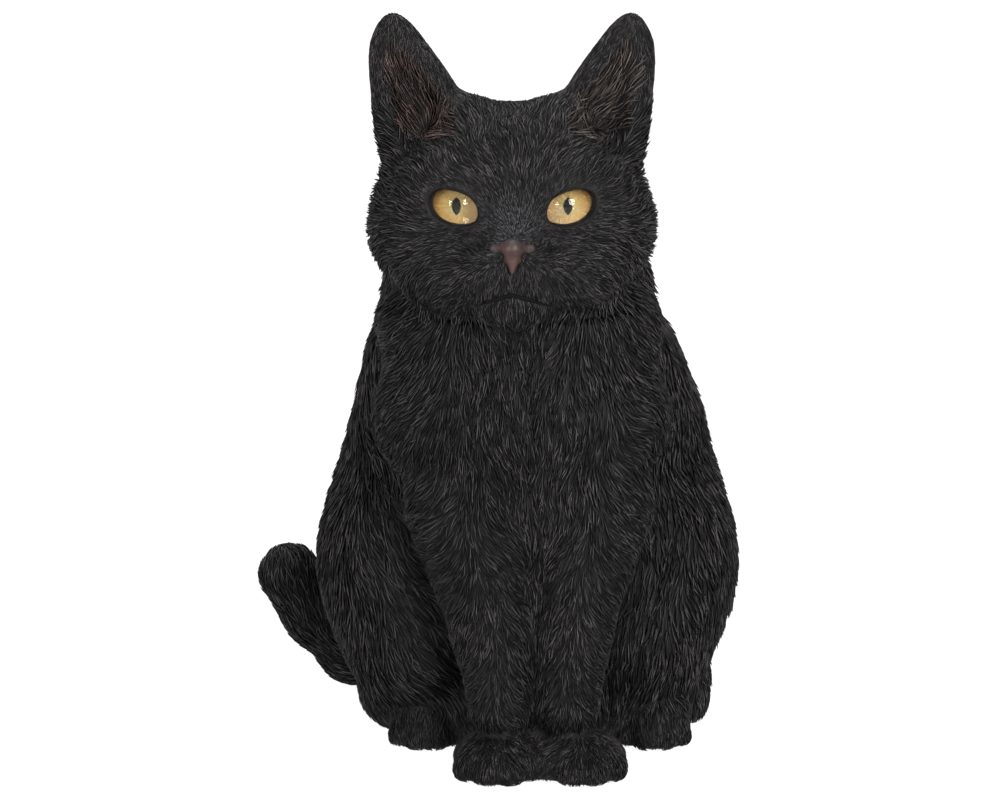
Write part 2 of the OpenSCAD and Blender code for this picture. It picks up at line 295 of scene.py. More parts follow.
def head_field(p):
    """The whole head casting, without the cut of the neck joint."""
    c = from_head(p)
    q = mirrored(c)
    skull = ellipsoid(c, (0, 5, 4.5), (HALF_HEAD - 9, 42, 32))
    cheek = ((HALF_HEAD - 28, 1, -10), (26, 33, 23), 12)
    brow = ((22, -20, 4), (20, 15, 18), 8)
    crown_side = ((17, 4, 30), (11, 18, 9.2), 6)
    d = swollen(skull, q, [cheek, brow, crown_side])
    bridge = limb(c, (0, -20, 16), (0, -37, -6), 14, 8.0)
    d = union(d, bridge, 8)
    whisker_pad = ((9.0, -35.0, -22), (12, 12, 9.8), 5)
    d = swollen(d, q, [whisker_pad])
    nose_root = ((0, -40.5, -12.5), (8, 6.5, 6.5), 4)
    chin = ((0, -33.5, -32), (14, 12, 9.5), 5)
    d = swollen(d, c, [nose_root, chin])
    jowl = ((20, -18, -24), (20, 20, 14), 8)
    d = swollen(d, q, [jowl])
    d = union(d, ear_field(q), 5)
    # the mouth's groove, and the one that runs up from it to the nose
    d = carve(d, limb(q, MOUTH[0], MOUTH[1], 1.1, 1.1), 1.4)
    d = carve(d, limb(q, MOUTH[1], MOUTH[2], 1.1, 0.6), 1.4)
    d = carve(d, limb(c, (0, -51, -20), (0, -48.5, -27), 0.7, 0.8), 1.2)
    return sockets(d, p)


def neck_plane(p):
    """Height above the plane in which the head and body castings meet."""
    lean = math.radians(11)
    return (p[..., 2] - NECK_Z) * math.cos(lean) - (p[..., 1] - (TOE_Y + 76)) * math.sin(lean)


def tail_field(p):
    """The tail from behind the haunch to its blunt tip."""
    r = 12.5
    x, z = tail_low[0], FLOOR_Z + r
    path = [
        (x + 63, RUMP_Y - 27, z),
        (x + 38, RUMP_Y - 32, z + 4),
        (x + 23.5, RUMP_Y - 37, z + 21),
        (x + r, RUMP_Y - 42, z + 37.5),
    ]
    d = limb(p, path[0], path[1], r, r)
    d = union(d, limb(p, path[1], path[2], r, r), 8)
    d = union(d, limb(p, path[2], path[3], r, r * 0.95), 8)
    return carve(d, p[..., 2] - FLOOR_Z, 1.5)


# How softly the head runs into the body
NECK_BLEND = 6


def all_field(p):
    """Body and head in one, so that both castings share one skin at the neck."""
    return union(body_field(p), head_field(p), NECK_BLEND)


def bust_field(p):
    """The same skin from the shoulders up, without what lies far below."""
    return union(union(trunk_field(p), chest_field(p), 4), head_field(p), NECK_BLEND)


# ---- meshes from fields
def grid_points(low, high, step):
    """The points of a box-shaped grid."""
    axes = [np.arange(a, b + step, step, dtype=np.float32) for a, b in zip(low, high)]
    return np.stack(np.meshgrid(*axes, indexing="ij"), -1)


def skin(field, low, high, step):
    """A smooth closed mesh where the field is zero, by surface nets."""
    # one slab of the grid at a time, to save memory
    d = np.stack([field(slab) for slab in grid_points(low, high, step)]).astype(np.float32)
    cell_grid = tuple(n - 1 for n in d.shape)
    total = np.zeros((*cell_grid, 3), np.float32)
    count = np.zeros(cell_grid, np.float32)
    quads = []
    for axis in range(3):
        a, b = np.delete(d, -1, axis), np.delete(d, 0, axis)
        cross = (a < 0) != (b < 0)
        where = np.argwhere(cross)
        da, db = a[cross], b[cross]
        t = da / (da - db)
        point = where.astype(np.float32)
        point[:, axis] += t
        u, v = [k for k in range(3) if k != axis]
        cells = []
        for du, dv in ((0, 0), (-1, 0), (-1, -1), (0, -1)):
            cell = where.copy()
            cell[:, u] += du
            cell[:, v] += dv
            cells.append(cell)
            np.add.at(total, tuple(cell.T), point)
            np.add.at(count, tuple(cell.T), 1)
        flip = da < 0
        if axis == 1:
            flip = ~flip
        quads.append((cells, flip))
    used = count > 0
    index = np.full(used.shape, -1, np.int64)
    index[used] = np.arange(used.sum())
    verts = total[used] / count[used][:, None] * step + np.array(low, np.float32)
    faces = []
    for cells, flip in quads:
        ring = np.stack([index[tuple(c.T)] for c in cells], 1)
        ring[flip] = ring[flip][:, ::-1]
        faces.append(ring)
    return verts, np.concatenate(faces)


def add_to_scene(name, data):
    """A new object in the scene with this data."""
    ob = bpy.data.objects.new(name, data)
    bpy.context.scene.collection.objects.link(ob)
    return ob


def mesh_object(name, verts, faces):
    """A smooth Blender object of points, in millimetres, and faces of any size."""
    me = bpy.data.meshes.new(name)
    me.from_pydata((verts * MM).tolist(), [], [[int(i) for i in face] for face in faces])
    me.validate()
    me.shade_smooth()
    return add_to_scene(name, me)


def body_casting(p):
    """The body's casting, up to the cut at the neck."""
    return np.maximum(all_field(p), neck_plane(p))


def head_casting(p):
    """The head's casting, down to the cut at the neck."""
    return np.maximum(bust_field(p), -neck_plane(p))


# How far each grid reaches past its casting; the body's goes further up, past the leaning cut
MARGIN = 4
body_v, body_f = skin(body_casting, body_low - MARGIN, body_high + [MARGIN, MARGIN, 10], 2.0)
body_skin = mesh_object("body_skin", body_v, body_f)
head_v, head_f = skin(head_casting, head_low - MARGIN, head_high + MARGIN, 1.0)
head_skin = mesh_object("head_skin", head_v, head_f)
tail_v, tail_f = skin(tail_field, tail_low - MARGIN, tail_high + MARGIN, 1.5)
tail_skin = mesh_object("tail_skin", tail_v, tail_f)


# ---- fur
def step_up(x, start, end):
    """0 before start, 1 after end, smooth between."""
    t = np.clip((x - start) / (end - start), 0, 1)
    return t * t * (3 - 2 * t)


def unit(v):
    """The vectors, each scaled to length 1."""
    return v / np.maximum(np.linalg.norm(v, axis=-1, keepdims=True), 1e-6)


def outward(field, p):
    """Unit normals of the field at these points, from four samples round each."""
    g = np.zeros_like(p)
    for corner in ((1, -1, -1), (-1, -1, 1), (-1, 1, -1), (1, 1, 1)):
        k = np.array(corner, np.float32)
        g += k * field(p + 0.4 * k)[..., None]
    return unit(g)


def scattered(verts, faces, spacing, keep, seed):
    """Points spread evenly over a mesh of quads, no two nearer than the spacing there."""
    rng = np.random.default_rng(seed)
    quad = verts[faces]
    diagonals = np.cross(quad[:, 2] - quad[:, 0], quad[:, 3] - quad[:, 1])
    area = np.linalg.norm(diagonals, axis=1) / 2
    middle = quad.mean(1)
    area = area * keep(middle)
    wanted = area / spacing(middle) ** 2
    number = int(wanted.sum() * 2.6)
    pick = rng.choice(len(faces), number, p=wanted / wanted.sum())
    u, v = rng.random((2, number, 1)).astype(np.float32)
    quad = quad[pick]
    low = quad[:, 0] * (1 - u) + quad[:, 1] * u
    high = quad[:, 3] * (1 - u) + quad[:, 2] * u
    points = (low * (1 - v) + high * v).astype(np.float32)
    tree = kdtree.KDTree(number)
    for i, co in enumerate(points.tolist()):
        tree.insert(co, i)
    tree.balance()
    free = np.ones(number, bool)
    reach = spacing(points)
    for i in range(number):
        if free[i]:
            for _, j, _ in tree.find_range(points[i], float(reach[i])):
                if j > i:
                    free[j] = False
    return points[free]


def wander(p, size, seed):
    """Smooth noise about 1 high that changes over about size millimetres, two channels."""
    rng = np.random.default_rng(seed)
    total = np.zeros((len(p), 2), np.float32)
    for _ in range(7):
        k = rng.normal(size=3) / size * 2.2
        for channel in range(2):
            total[:, channel] += np.sin(p @ k + rng.random() * 6.28)
        k = rng.normal(size=3) / size * 2.2
        total[:, 1] += np.sin(p @ k + rng.random() * 6.28)
    return total / 2.6


# A strand is three triangular rings and a tip, at these shares of its length
STATIONS = (0.0, 0.36, 0.7, 1.0)
RING_WIDTH = (0.75, 1.0, 0.72)
RING_THICK = (0.6, 1.0, 0.8)
STRAND_POINTS = 10
CLUMP_SIZE = 9
# Each ring's left, top and right points come in turn, 0 to 8, and the tip is 9
STRAND_FACES = [
    (0, 3, 4, 1), (3, 6, 7, 4), (1, 4, 5, 2), (4, 7, 8, 5), (0, 2, 5, 3), (3, 5, 8, 6),
    (6, 9, 7), (7, 9, 8), (6, 8, 9), (0, 1, 2),
]
HIDDEN_FACES = (4, 5, 8, 9)


def clumps(roots, rng):
    """For each root, the way to its clump's leader, and how much the clump stands up."""
    n = len(roots)
    leaders = rng.choice(n, n // CLUMP_SIZE, replace=False)
    tree = kdtree.KDTree(len(leaders))
    for i, j in enumerate(leaders):
        tree.insert(roots[j].tolist(), i)
    tree.balance()
    mine = np.array([tree.find(co)[1] for co in roots.tolist()])
    return roots[leaders[mine]] - roots, rng.uniform(0.55, 1.5, len(leaders))[mine]


def frost_at(roots):
    """Where the bridge of the nose is dusted with paler paint."""
    c = from_head(roots)
    away = np.sqrt((c[:, 0] / 15) ** 2 + ((c[:, 2] + 4) / 12) ** 2 + ((c[:, 1] + 44) / 14) ** 2)
    return 1 - step_up(away, 0.4, 1.1)


# The fur hangs a little past the casting's foot, and stays clear of what the felt stands on
LOWEST_FUR = FLOOR_Z * 0.4


def strands(field, roots, way, length, width, lift, tone, seed):
    """Closed, tapering, ridged strands lying on the skin, as vertices and per-vertex values."""
    rng = np.random.default_rng(seed)
    n = len(roots)
    up = outward(field, roots)
    way = unit(way - (way * up).sum(1, keepdims=True) * up)
    side = np.cross(up, way)
    drift = wander(roots, 16, seed + 1)
    turn = 0.22 * drift[:, :1] + rng.normal(0, 0.13, (n, 1))
    way = unit(way + side * turn)
    side = np.cross(up, way)
    bend = (0.12 * drift[:, 1:] + rng.normal(0, 0.08, (n, 1))) * length[:, None]
    length = length * rng.uniform(0.75, 1.25, n)
    width = width * rng.uniform(0.75, 1.25, n)
    gather, stand = clumps(roots, rng)
    gather = gather - (gather * up).sum(1, keepdims=True) * up
    gather = gather * np.minimum(1, length / 3 / np.maximum(np.linalg.norm(gather, axis=1), 0.1))[:, None]
    lift = lift * stand * rng.uniform(0.7, 1.3, n)
    rings = []
    for k, s in enumerate(STATIONS):
        q = roots + way * (length * (s - 0.25))[:, None] + side * bend * s * s + gather * 0.5 * s * s
        q = q - outward(field, q) * field(q)[:, None]
        normal = outward(field, q)
        height = (-0.25 + 0.75 * min(s / 0.36, 1)) * width * 0.35 + lift * s**1.6
        middle = q + normal * height[:, None]
        if k == len(RING_WIDTH):
            rings.append(middle[:, None])
            break
        half = side * (width * RING_WIDTH[k] / 2)[:, None]
        thick = normal * (width * 0.34 * RING_THICK[k])[:, None]
        rings.append(np.stack([middle - half - thick, middle + thick, middle + half - thick], 1))
    verts = np.concatenate(rings, 1)
    verts[..., 2] = np.maximum(verts[..., 2], LOWEST_FUR)
    crest = np.tile(np.array([0, 1, 0, 0, 1, 0, 0, 1, 0, 0.8], np.float32), (n, 1))
    along = np.tile(np.repeat(np.array(STATIONS, np.float32), (3, 3, 3, 1)), (n, 1))
    tone, frost = (np.repeat(values[:, None], STRAND_POINTS, 1) for values in (tone, frost_at(roots)))
    return verts, crest, along, tone, frost


def strand_map(count):
    """The bake's map: one small cell per strand, its top faces left and its hidden ones right."""
    top, hidden = {9: (0.3, 1)}, {9: (0.83, 1), 1: (0.83, 0.1)}
    for ring, v in enumerate(STATIONS[:3]):
        for across, u in enumerate((0.02, 0.3, 0.58)):
            top[3 * ring + across] = (u, v)
        for across, u in ((0, 0.68), (2, 0.98)):
            hidden[3 * ring + across] = (u, v)
    tables = [hidden if i in HIDDEN_FACES else top for i in range(len(STRAND_FACES))]
    unit_cell = [table[v] for table, face in zip(tables, STRAND_FACES) for v in face]
    unit_cell = np.array(unit_cell, np.float32)
    columns = math.ceil(math.sqrt(count * 1.6))
    rows = math.ceil(count / columns)
    i = np.arange(count)
    corner = np.stack([i % columns, i // columns], 1).astype(np.float32)
    size = np.array([1 / columns, 1 / rows], np.float32)
    return ((corner[:, None] + 0.08 + unit_cell[None] * 0.84) * size).reshape(-1, 2)


def coat(name, verts, crest, along, tone, frost):
    """One piece of fur from its strands."""
    count = len(verts)
    sizes = np.array([len(f) for f in STRAND_FACES])
    loops = np.concatenate([np.array(f) for f in STRAND_FACES])
    loops = (loops[None] + STRAND_POINTS * np.arange(count)[:, None]).ravel()
    totals = np.tile(sizes, count)
    starts = np.concatenate([[0], np.cumsum(totals)[:-1]])
    me = bpy.data.meshes.new(name)
    me.vertices.add(count * STRAND_POINTS)
    me.vertices.foreach_set("co", (verts.reshape(-1) * MM).astype(np.float32))
    me.loops.add(len(loops))
    me.loops.foreach_set("vertex_index", loops.astype(np.int32))
    me.polygons.add(len(totals))
    me.polygons.foreach_set("loop_start", starts.astype(np.int32))
    me.polygons.foreach_set("loop_total", totals.astype(np.int32))
    me.update(calc_edges=True)
    for label, values in (("crest", crest), ("along", along), ("tone", tone), ("frost", frost)):
        layer = me.attributes.new(label, "FLOAT", "POINT")
        layer.data.foreach_set("value", values.ravel().astype(np.float32))
    me.uv_layers.new(name="OFBake").uv.foreach_set("vector", strand_map(count).ravel())
    me.shade_smooth()
    return add_to_scene(name, me)


def head_plan(p):
    """Direction, length, width and lift of the fur on the head: out from the nose over the face,
    down behind, up the ears, and as on the body round the neck."""
    c = from_head(p)
    away = c - np.array([0, -53, -8], np.float32)
    reach = np.linalg.norm(away, axis=1)
    way = unit(away)
    down = np.array([0, 0.25, -1.0], np.float32)
    low = (step_up(-c[:, 2], 0, 25) * step_up(np.abs(c[:, 0]), 12, 40))[:, None]
    way = unit(way + low * np.array([0, 0, -0.55], np.float32))
    back = step_up(c[:, 1], 2, 34)[:, None] * step_up(20 - c[:, 2], -20, 10)[:, None]
    way = unit(way * (1 - back) + down * back)
    under = step_up(-c[:, 2], 30, 40)[:, None]
    way = unit(way * (1 - under) + np.array([0, 0.1, -1], np.float32) * under)
    # the ears: up towards their tips
    ear = step_up(c[:, 2], 32, 40)[:, None] * step_up(np.abs(c[:, 0]), 12, 20)[:, None]
    tipward = unit(np.stack([np.sign(c[:, 0]) * 44, np.zeros(len(c)), np.full(len(c), 72.0)], 1) - c)
    way = unit(way * (1 - ear) + tipward * ear)
    length = np.interp(reach, (8, 22, 45, 80), (1.6, 2.8, 4.8, 6.8))
    width = np.interp(reach, (8, 22, 45, 80), (0.4, 0.52, 0.68, 0.88))
    length = length * (1 - ear[:, 0]) + 2.4 * ear[:, 0]
    width = width * (1 - ear[:, 0]) + 0.5 * ear[:, 0]
    for side in SIDES:
        ahead = (p - DOMES[side]) @ eye_axes(side)[2]
        near = 1 - step_up(np.where(ahead > 0, almond(p, side), 99), 1.5, 9)
        length = length * (1 - 0.5 * near)
        width = width * (1 - 0.3 * near)
    body_way, body_length, body_width, _ = body_plan(p)
    chin = step_up(-c[:, 1], 24, 34) * step_up(c[:, 2], -43, -38)
    neck = step_up(16 - neck_plane(p), 0, 14) * (1 - chin)
    way = unit(way * (1 - neck[:, None]) + body_way * neck[:, None])
    length = length * (1 - neck) + body_length * neck
    width = width * (1 - neck) + body_width * neck
    crown = step_up(c[:, 2], 22, 34) * (1 - ear[:, 0])
    lift = length * 0.2 * (1 - 0.75 * ear[:, 0]) * (1 - 0.55 * crown)
    return way, length, width, lift


def body_plan(p):
    """Direction, length, width and lift of the fur on the body."""
    rear, front = body_halves(p)
    x, y, z = p.T
    # the chest: inwards near the middle, fanning outwards to the bib's edges
    half = np.interp(z, (20, 45, 79, 108, 165), (27, 29, 40, 54, 54))
    share = np.abs(x + 2) / half
    across = np.interp(share, (0, 0.12, 0.22, 0.38, 0.6, 0.85, 1.1), (0, -0.06, -0.2, -0.1, 0.4, 1.3, 2.2))
    chest = np.stack([np.sign(x + 2) * across, 0.25 * share, -np.ones_like(x)], 1)
    # the front legs: a herringbone either side of each leg's middle, then forward over the paws
    side = np.sign(x)
    from_leg = (np.abs(x) - leg_middle(z)) / 13
    from_leg = from_leg * np.where(from_leg < 0, step_up(np.abs(x - 1.5), 1, 9), 1)
    leg_across = side * 0.95 * np.clip(from_leg, -1.3, 1.3)
    leg = np.stack([leg_across, 0.3 * np.clip(from_leg, 0, 1), -np.ones_like(x)], 1)
    on_leg = step_up(-z, -104, -84)[:, None]
    fore = chest * (1 - on_leg) + leg * on_leg
    paw = step_up(-z, -21, -17)[:, None]
    toes = np.stack([0.15 * side * from_leg, np.full_like(x, -0.4), -np.ones_like(x)], 1)
    fore = fore * (1 - paw) + toes * paw
    # the haunches, back and hind paws
    facing = step_up(-y, -40, 10)
    inward = np.where(x < 0, 0.85, -0.16) * facing * step_up(HALF_W - np.abs(x), 0, 26)
    flank = np.stack([inward, 0.42 * (1 - facing) + 0.05, -np.ones_like(x)], 1)
    hind_paw = (step_up(-z, -20, -16) * step_up(-y, 0, 14))[:, None]
    flank = flank * (1 - hind_paw) + np.array([0, -0.5, -1], np.float32) * hind_paw
    is_front = (front < rear)[:, None]
    way = unit(np.where(is_front, fore, flank))
    size = np.where(front < rear, np.interp(z, (2, 10, 24, 60, 110), (1.6, 3.2, 4.6, 5.6, 7.0)), 8.2)
    size = np.where(hind_paw[:, 0] > 0.5, np.interp(z, (2, 10), (1.6, 3.6)), size)
    width = np.interp(size, (1.6, 3.6, 5, 7, 8.2), (0.45, 0.55, 0.66, 0.78, 0.92))
    lift = size * np.where(front < rear, 0.16, 0.13)
    return way, size, width, lift


def tail_plan(p):
    """Direction, length, width and lift of the tail's fur, which runs along it to the tip."""
    z = p[:, 2]
    rise = step_up(z, 8, 32)
    way = unit(np.stack([-1 + 0.55 * rise, np.full_like(z, -0.1), 0.15 + 1.3 * rise], 1))
    one = np.ones(len(p))
    return way, 6.8 * one, 0.95 * one, 0.8 * one


def spacing_from(plan):
    """How far apart strands of these sizes grow."""
    def spacing(p):
        """The gap that a plan's strands leave each other at these points."""
        _, length, width, _ = plan(p)
        return np.sqrt(0.75 * length * width * 0.36)
    return spacing


def nose_field(c):
    """The nose leather in head coordinates: a bar over a tapering stem, a nostril each side."""
    q = mirrored(c)
    d = limb(q, (0, -46.0, -10.9), (6.6, -43.3, -11.4), 2.4, 1.5)
    d = union(d, limb(c, (0, -45.6, -12), (0, -46.4, -19.5), 4.0, 0.9), 2)
    d = union(d, limb(q, (6.6, -43.1, -11.8), (2, -45.2, -15.2), 1.5, 1.4), 1)
    return carve(d, limb(q, (4.9, -50, -14.9), (3.7, -43.5, -14.0), 1.15, 1.15), 0.8)


def head_keep(p):
    """1 where the head grows fur: not on the eyes, lids, nose and lips or inside the ears."""
    c = from_head(p)
    keep = ((neck_plane(p) > -1.0) & (bust_field(p) > -0.5)).astype(np.float32)
    for side in SIDES:
        ahead = (p - DOMES[side]) @ eye_axes(side)[2]
        keep *= (almond(p, side) > 1.15) | (ahead < 0)
    q = mirrored(c)
    keep *= nose_field(c) > np.where(c[:, 2] > -10, -0.8, 0.2)
    keep *= np.minimum(limb(q, MOUTH[0], MOUTH[1], 0.9, 0.9), limb(q, MOUTH[1], MOUTH[2], 0.9, 0.4)) > 0.5
    keep *= ~((ear_hollow(q) < 0.4) & (c[:, 2] > EAR_LOW + 13))
    return keep


def ear_plan(p):
    """The long fur inside an ear grows from its inner edge up and out across the hollow."""
    c = from_head(p)
    side = np.sign(c[:, 0])
    high = step_up(c[:, 2], 20, 55)
    way = unit(np.stack([side * (0.9 - 0.5 * high), np.full(len(c), -0.5), 0.75 + 0.5 * high], 1))
    one = np.ones(len(c))
    return way, 8.0 * one, 0.6 * one, 1.8 * one


def ear_keep(p):
    """1 in the inner part of the ear's hollow."""
    c = from_head(p)
    q = mirrored(c)
    across = q[:, 0] - np.interp((c[:, 2] - EAR_LOW) / (EAR_HIGH - EAR_LOW), *EAR_MIDDLE)
    inside = (ear_hollow(q) < 0.8) & (c[:, 2] > EAR_LOW + 14) & (c[:, 2] < EAR_HIGH - 9)
    return (inside & (across < 9)).astype(np.float32)


def body_keep(p):
    """1 where the body grows fur: not under it, nor in the cut at the neck."""
    return ((neck_plane(p) < 1.0) & (all_field(p) > -0.5) & (p[:, 2] > FLOOR_Z + 1.2)).astype(np.float32)


def tail_keep(p):
    """1 where the tail grows fur: not under it, nor inside the haunch."""
    return ((all_field(p) > -1.0) & (p[:, 2] > FLOOR_Z + 1.2)).astype(np.float32)


def grow(verts, faces, field, plan, keep, seed, regions):
    """Coats of fur from roots scattered over a skin, one piece for each named region."""
    roots = scattered(verts, faces, spacing_from(plan), keep, seed)
    way, length, width, lift = plan(roots)
    tone = np.random.default_rng(seed + 5).random(len(roots))
    parts = strands(field, roots, way, length, width, lift, tone, seed + 9)
    left = np.ones(len(roots), bool)
    pieces = []
    for name, inside in regions:
        mine = left & inside(roots)
        left &= ~mine
        pieces.append(coat(name, *[part[mine] for part in parts]))
    return pieces


def everywhere(p):
    """True for every point: the last region takes what is left."""
    return np.ones(len(p), bool)


def on_front(p):
    """True on the chest and the front legs."""
    rear, front = body_halves(p)
    return front < rear


head_regions = [
    ("right_face_fur", lambda p: (p[:, 1] < HEAD[1] - 2) & (p[:, 0] < HEAD[0])),
    ("left_face_fur", lambda p: p[:, 1] < HEAD[1] - 2),
    ("nape_fur", everywhere),
]
body_regions = [
    ("chest_fur", lambda p: on_front(p) & (p[:, 2] > 84)),
    ("front_leg_fur", on_front),
    ("back_fur", lambda p: (p[:, 1] > RUMP_Y - 58) & (np.abs(p[:, 0]) < 50)),
    ("right_flank_fur", lambda p: p[:, 0] < 0),
    ("left_flank_fur", everywhere),
]
head_furs = grow(head_v, head_f, bust_field, head_plan, head_keep, 11, head_regions)
body_furs = grow(body_v, body_f, all_field, body_plan, body_keep, 22, body_regions)
tail_furs = grow(tail_v, tail_f, tail_field, tail_plan, tail_keep, 33, [("tail_fur", everywhere)])
ear_regions = [("right_ear_fur", lambda p: p[:, 0] < HEAD[0]), ("left_ear_fur", everywhere)]
ear_furs = grow(head_v, head_f, bust_field, ear_plan, ear_keep, 44, ear_regions)


# ---- eyelids, nose and mouth
LID_POINTS = 73
MOUTH_POINTS = 25


def ring_faces(rings, sides, closed):
    """Faces between rings of points: each ring to the next, then either the last to the first or
    a cap on each end."""
    faces = []
    for i in range(rings if closed else rings - 1):
        j = (i + 1) % rings
        for k in range(sides):
            m = (k + 1) % sides
            faces.append((i * sides + k, i * sides + m, j * sides + m, j * sides + k))
    if not closed:
        faces.append(tuple(range(sides))[::-1])
        faces.append(tuple((rings - 1) * sides + k for k in range(sides)))
    return faces


def tube(path, radii, sides=10):
    """Points and faces of a round tube along a path; a closed path's ends are the same point."""
    path, radii = np.array(path, float), np.array(radii, float)
    closed = np.allclose(path[0], path[-1])
    if closed:
        path, radii = path[:-1], radii[:-1]
        ahead = unit(np.roll(path, -1, 0) - np.roll(path, 1, 0))
    else:
        ahead = unit(np.gradient(path, axis=0))
    side = unit(np.cross(ahead, (0.2, 1, 0.1)))
    up = np.cross(side, ahead)
    turn = np.linspace(0, 2 * math.pi, sides, endpoint=False)
    ring = np.cos(turn)[None, :, None] * side[:, None] + np.sin(turn)[None, :, None] * up[:, None]
    verts = (path[:, None] + ring * radii[:, None, None]).reshape(-1, 3)
    return verts, ring_faces(len(path), sides, closed)


def lid_path(side, grow_by, height):
    """A closed path round the almond opening, this far outside it and above the glass, found by
    halving the distance to it again and again."""
    outward_axis, up, forward = eye_axes(side)
    turn = np.linspace(0, 2 * math.pi, LID_POINTS)
    low, high = np.zeros(LID_POINTS), np.full(LID_POINTS, 14.0)
    for _ in range(30):
        mid = (low + high) / 2
        p = DOMES[side] + np.outer(mid * np.cos(turn), outward_axis) + np.outer(mid * np.sin(turn), up)
        far = almond(p, side) > grow_by
        high = np.where(far, mid, high)
        low = np.where(far, low, mid)
    flat = np.outer(low * np.cos(turn), outward_axis) + np.outer(low * np.sin(turn), up)
    rise = np.sqrt(np.maximum((DOME_R + height) ** 2 - (flat**2).sum(1), 1))
    path = DOMES[side] + flat + np.outer(rise, forward)
    path[-1] = path[0]
    return path


def lid_rim(name, side):
    """The raised rim of both lids of one eye."""
    path = lid_path(side, 0.35, 0.5)
    return mesh_object(name, *tube(path, np.full(len(path), 0.8)))


def mouth_shade_line():
    """A near-black tube sunk in the mouth's groove, thinning to both corners: painted shade of the groove.
    """
    half = [np.array(point) + (0, 1.1, 0) for point in MOUTH]
    whole = [point * (-1, 1, 1) for point in half[:0:-1]] + half
    spread = np.linspace(0, len(whole) - 1, MOUTH_POINTS)
    path = HEAD + np.stack([np.interp(spread, range(len(whole)), axis) for axis in zip(*whole)], 1)
    radii = 0.3 + 0.5 * np.sin(np.linspace(0, math.pi, MOUTH_POINTS)) ** 0.5
    return mesh_object("mouth_shade_line", *tube(path, radii, 8))


lids = [lid_rim("right_eyelid_rim", -1), lid_rim("left_eyelid_rim", 1)]
nose_low, nose_high = HEAD + [-11, -54, -23], HEAD + [11, -40, -6]
nose = mesh_object("nose", *skin(lambda p: nose_field(from_head(p)), nose_low, nose_high, 0.35))
mouth = mouth_shade_line()


# ---- felt pads
FELT_SIDES = 96
FELT_RINGS = 9


def felt_ring(middle, radius, hole_at, hole_r, low, high, seed):
    """Points and faces of a round felt pad with soft edges and uneven faces, with a hole or
    closed at the middle."""
    rng = np.random.default_rng(seed)
    turn = np.linspace(0, 2 * math.pi, FELT_SIDES, endpoint=False)
    around = np.stack([np.cos(turn), np.sin(turn)], 1)
    edge = middle[:2] + radius * around
    inner = hole_at[:2] + hole_r * around if hole_r else middle[:2] + 0.02 * radius * around
    soft = (high - low) * 0.3
    last = FELT_RINGS - 1
    verts = []
    for face_z, inwards, order in ((high, -1, range(FELT_RINGS)), (low, 1, range(last, -1, -1))):
        for k in order:
            flat = inner * (1 - k / last) + edge * (k / last)
            rounded = k == last or (k == 0 and hole_r > 0)
            rough = rng.normal(0, 0.03, FELT_SIDES)
            pull = 1 + rng.normal(0, 0.0015, (FELT_SIDES, 1))
            flat = (flat - middle[:2]) * pull + middle[:2]
            z = face_z + inwards * soft * rounded + rough
            verts.append(np.column_stack([flat, np.clip(z, low, high)]))
    faces = ring_faces(len(verts), FELT_SIDES, hole_r > 0)
    return np.concatenate(verts), [face[::-1] for face in faces]


def felt_pads():
    """The felt under the haunches, with a hole round the stopper, and the front paws' two discs."""
    low, high = corners("rear_felt_pad")
    bung_low, bung_high = corners("vent_bung")
    bung = (bung_low + bung_high) / 2
    hole_r = (bung_high[0] - bung_low[0]) / 2 + 0.6
    ring = felt_ring((low + high) / 2, (high[0] - low[0]) / 2, bung, hole_r, low[2], high[2], 3)
    rear = mesh_object("rear_felt", *ring)
    low, high = corners("front_felt_pads")
    radius = (high[1] - low[1]) / 2
    y = (low[1] + high[1]) / 2
    discs = [felt_ring(np.array([x, y]), radius, None, 0, low[2], high[2], 4 + i)
             for i, x in enumerate((low[0] + radius, high[0] - radius))]
    verts = np.concatenate([points for points, _ in discs])
    past_first = len(discs[0][0])
    faces = discs[0][1] + [tuple(k + past_first for k in face) for face in discs[1][1]]
    return rear, mesh_object("front_felt", verts, faces)


rear_felt, front_felt = felt_pads()


# ---- materials
def material(name, **sockets):
    """A node material; numbers that are the same all over sit on its shader's sockets."""
    mat = bpy.data.materials.new(name)
    mat.use_nodes = True
    shader = mat.node_tree.nodes["Principled BSDF"]
    for label, value in sockets.items():
        shader.inputs[label.replace("_", " ")].default_value = value
    return mat, mat.node_tree, shader


def feed(tree, socket, value):
    """Links a socket into this one, or sets it to a number or colour."""
    if isinstance(value, bpy.types.NodeSocket):
        tree.links.new(value, socket)
    else:
        socket.default_value = value


def calc(tree, operation, a, b=0.0):
    """One step of arithmetic on sockets or numbers."""
    n = tree.nodes.new("ShaderNodeMath")
    n.operation = operation
    feed(tree, n.inputs[0], a)
    feed(tree, n.inputs[1], b)
    return n.outputs[0]


def product(tree, first, *others):
    """Sockets or numbers multiplied together."""
    for other in others:
        first = calc(tree, "MULTIPLY", first, other)
    return first


def blend(tree, factor, a, b):
    """Colour a where the factor is 0, colour b where it is 1."""
    n = tree.nodes.new("ShaderNodeMix")
    n.data_type = "RGBA"
    feed(tree, n.inputs["Factor"], factor)
    for socket, value in ((n.inputs[6], a), (n.inputs[7], b)):
        feed(tree, socket, value if isinstance(value, bpy.types.NodeSocket) else (*value, 1))
    return n.outputs[2]


def spread_over(tree, value, low, high, to_low=0.0, to_high=1.0):
    """A value mapped from one range to another and held inside it."""
    n = tree.nodes.new("ShaderNodeMapRange")
    for socket, number in zip(n.inputs, (value, low, high, to_low, to_high)):
        feed(tree, socket, number)
    return n.outputs[0]


def object_place(tree):
    """Where a point is on the object, in metres."""
    return tree.nodes.new("ShaderNodeTexCoord").outputs["Object"]


def along_axes(tree, vector):
    """A vector's three numbers."""
    n = tree.nodes.new("ShaderNodeSeparateXYZ")
    tree.links.new(vector, n.inputs[0])
    return n.outputs


